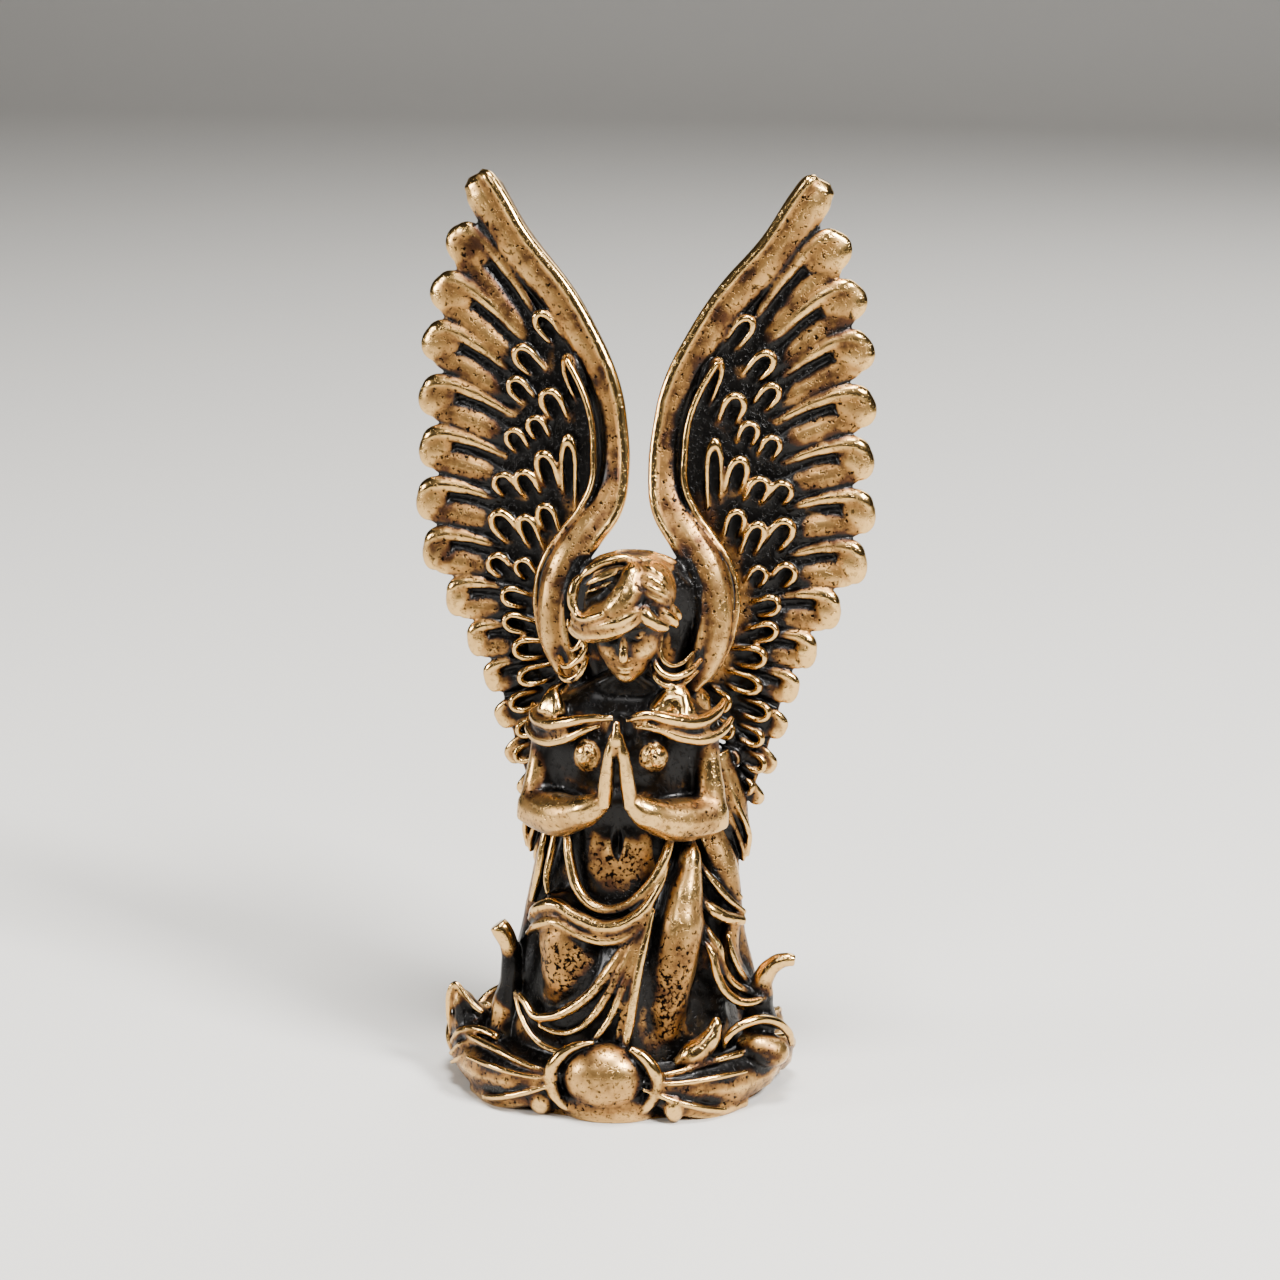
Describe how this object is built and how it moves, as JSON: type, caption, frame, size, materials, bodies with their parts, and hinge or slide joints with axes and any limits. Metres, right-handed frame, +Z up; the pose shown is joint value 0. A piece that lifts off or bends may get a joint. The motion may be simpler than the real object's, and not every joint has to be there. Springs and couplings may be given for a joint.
{
  "type": "praying angel figurine",
  "caption": "Small solid-brass figurine of a winged angel kneeling in prayer on a base of scrolled leaves, with tall open wings.",
  "frame": {"origin": "the middle of the underside, below the centre of the figure's box, on the surface that it stands on", "axes": "+Z up through the wings, -Y the way the angel faces, +X across the wings to the viewer's right"},
  "size_m": [0.0266, 0.0181, 0.052],
  "materials": {
    "brass": "polished on the high places, with a dark patina in the recesses"
  },
  "bodies": {
    "root": {"praying_angel": "brass"}
  },
  "joints": []
}
